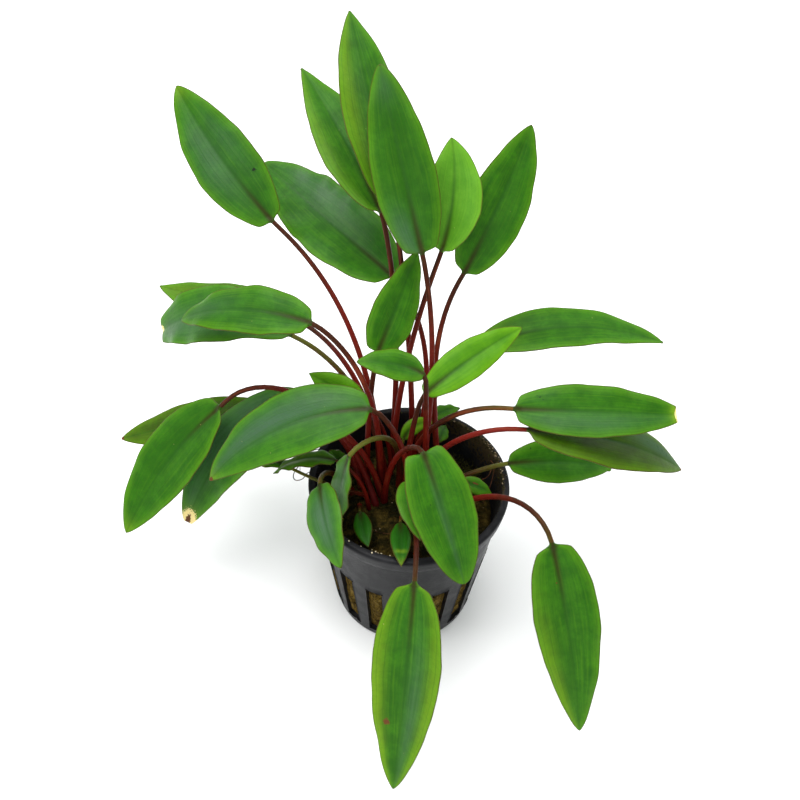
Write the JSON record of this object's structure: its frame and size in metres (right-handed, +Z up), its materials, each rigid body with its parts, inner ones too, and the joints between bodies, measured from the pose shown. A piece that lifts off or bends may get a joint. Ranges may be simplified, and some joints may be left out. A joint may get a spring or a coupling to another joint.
{
  "type": "potted aquarium plant",
  "caption": "Potted cryptocoryne: a rosette of arching red-stalked green leaves growing from a mineral wool plug in a slotted black net pot.",
  "frame": {"origin": "centre of the pot's foot, on the surface it stands on", "axes": "+Z up along the pot's axis; -Y towards the front seen in the picture, +X to the right"},
  "size_m": [0.1562, 0.1467, 0.1449],
  "materials": {
    "pot_plastic": "satin",
    "wool": "matt",
    "leaf_green": "satin",
    "leaf_pale": "satin",
    "leaf_bright": "satin",
    "leaf_bluish": "satin",
    "leaf_bronze": "satin",
    "leaf_dark": "satin"
  },
  "bodies": {
    "root": {"net_pot": "pot_plastic", "mineral_wool": "wool", "leaf_back_tall": "leaf_green", "leaf_back_left": "leaf_green", "leaf_back_centre": "leaf_green", "leaf_back_pale": "leaf_pale", "leaf_back_right": "leaf_green", "leaf_top_left": "leaf_green", "leaf_centre_left": "leaf_green", "leaf_mid_left_back": "leaf_green", "leaf_mid_left_under": "leaf_bluish", "leaf_mid_left_front": "leaf_green", "leaf_left_rear": "leaf_bronze", "leaf_left_drooping": "leaf_green", "leaf_left_burnt_tip": "leaf_bluish", "leaf_left_broad": "leaf_bluish", "leaf_left_bright": "leaf_bright", "leaf_left_under": "leaf_green", "leaf_left_hidden": "leaf_green", "leaf_left_tiny": "leaf_green", "leaf_centre_upright": "leaf_green", "leaf_centre_small": "leaf_green", "leaf_right_light": "leaf_bright", "leaf_young_curled": "leaf_bright", "leaf_behind_small": "leaf_green", "leaf_behind_tiny": "leaf_green", "leaf_right_long": "leaf_green", "leaf_right_level": "leaf_green", "leaf_right_glossy": "leaf_bronze", "leaf_right_low": "leaf_green", "leaf_rim_right": "leaf_green", "leaf_right_hanging": "leaf_green", "leaf_rim_left_back": "leaf_green", "leaf_rim_left": "leaf_bluish", "leaf_front_hanging": "leaf_green", "leaf_front_broad": "leaf_green", "leaf_front_tucked": "leaf_green", "leaf_wool_left": "leaf_dark", "leaf_wool_front": "leaf_dark"}
  },
  "joints": []
}
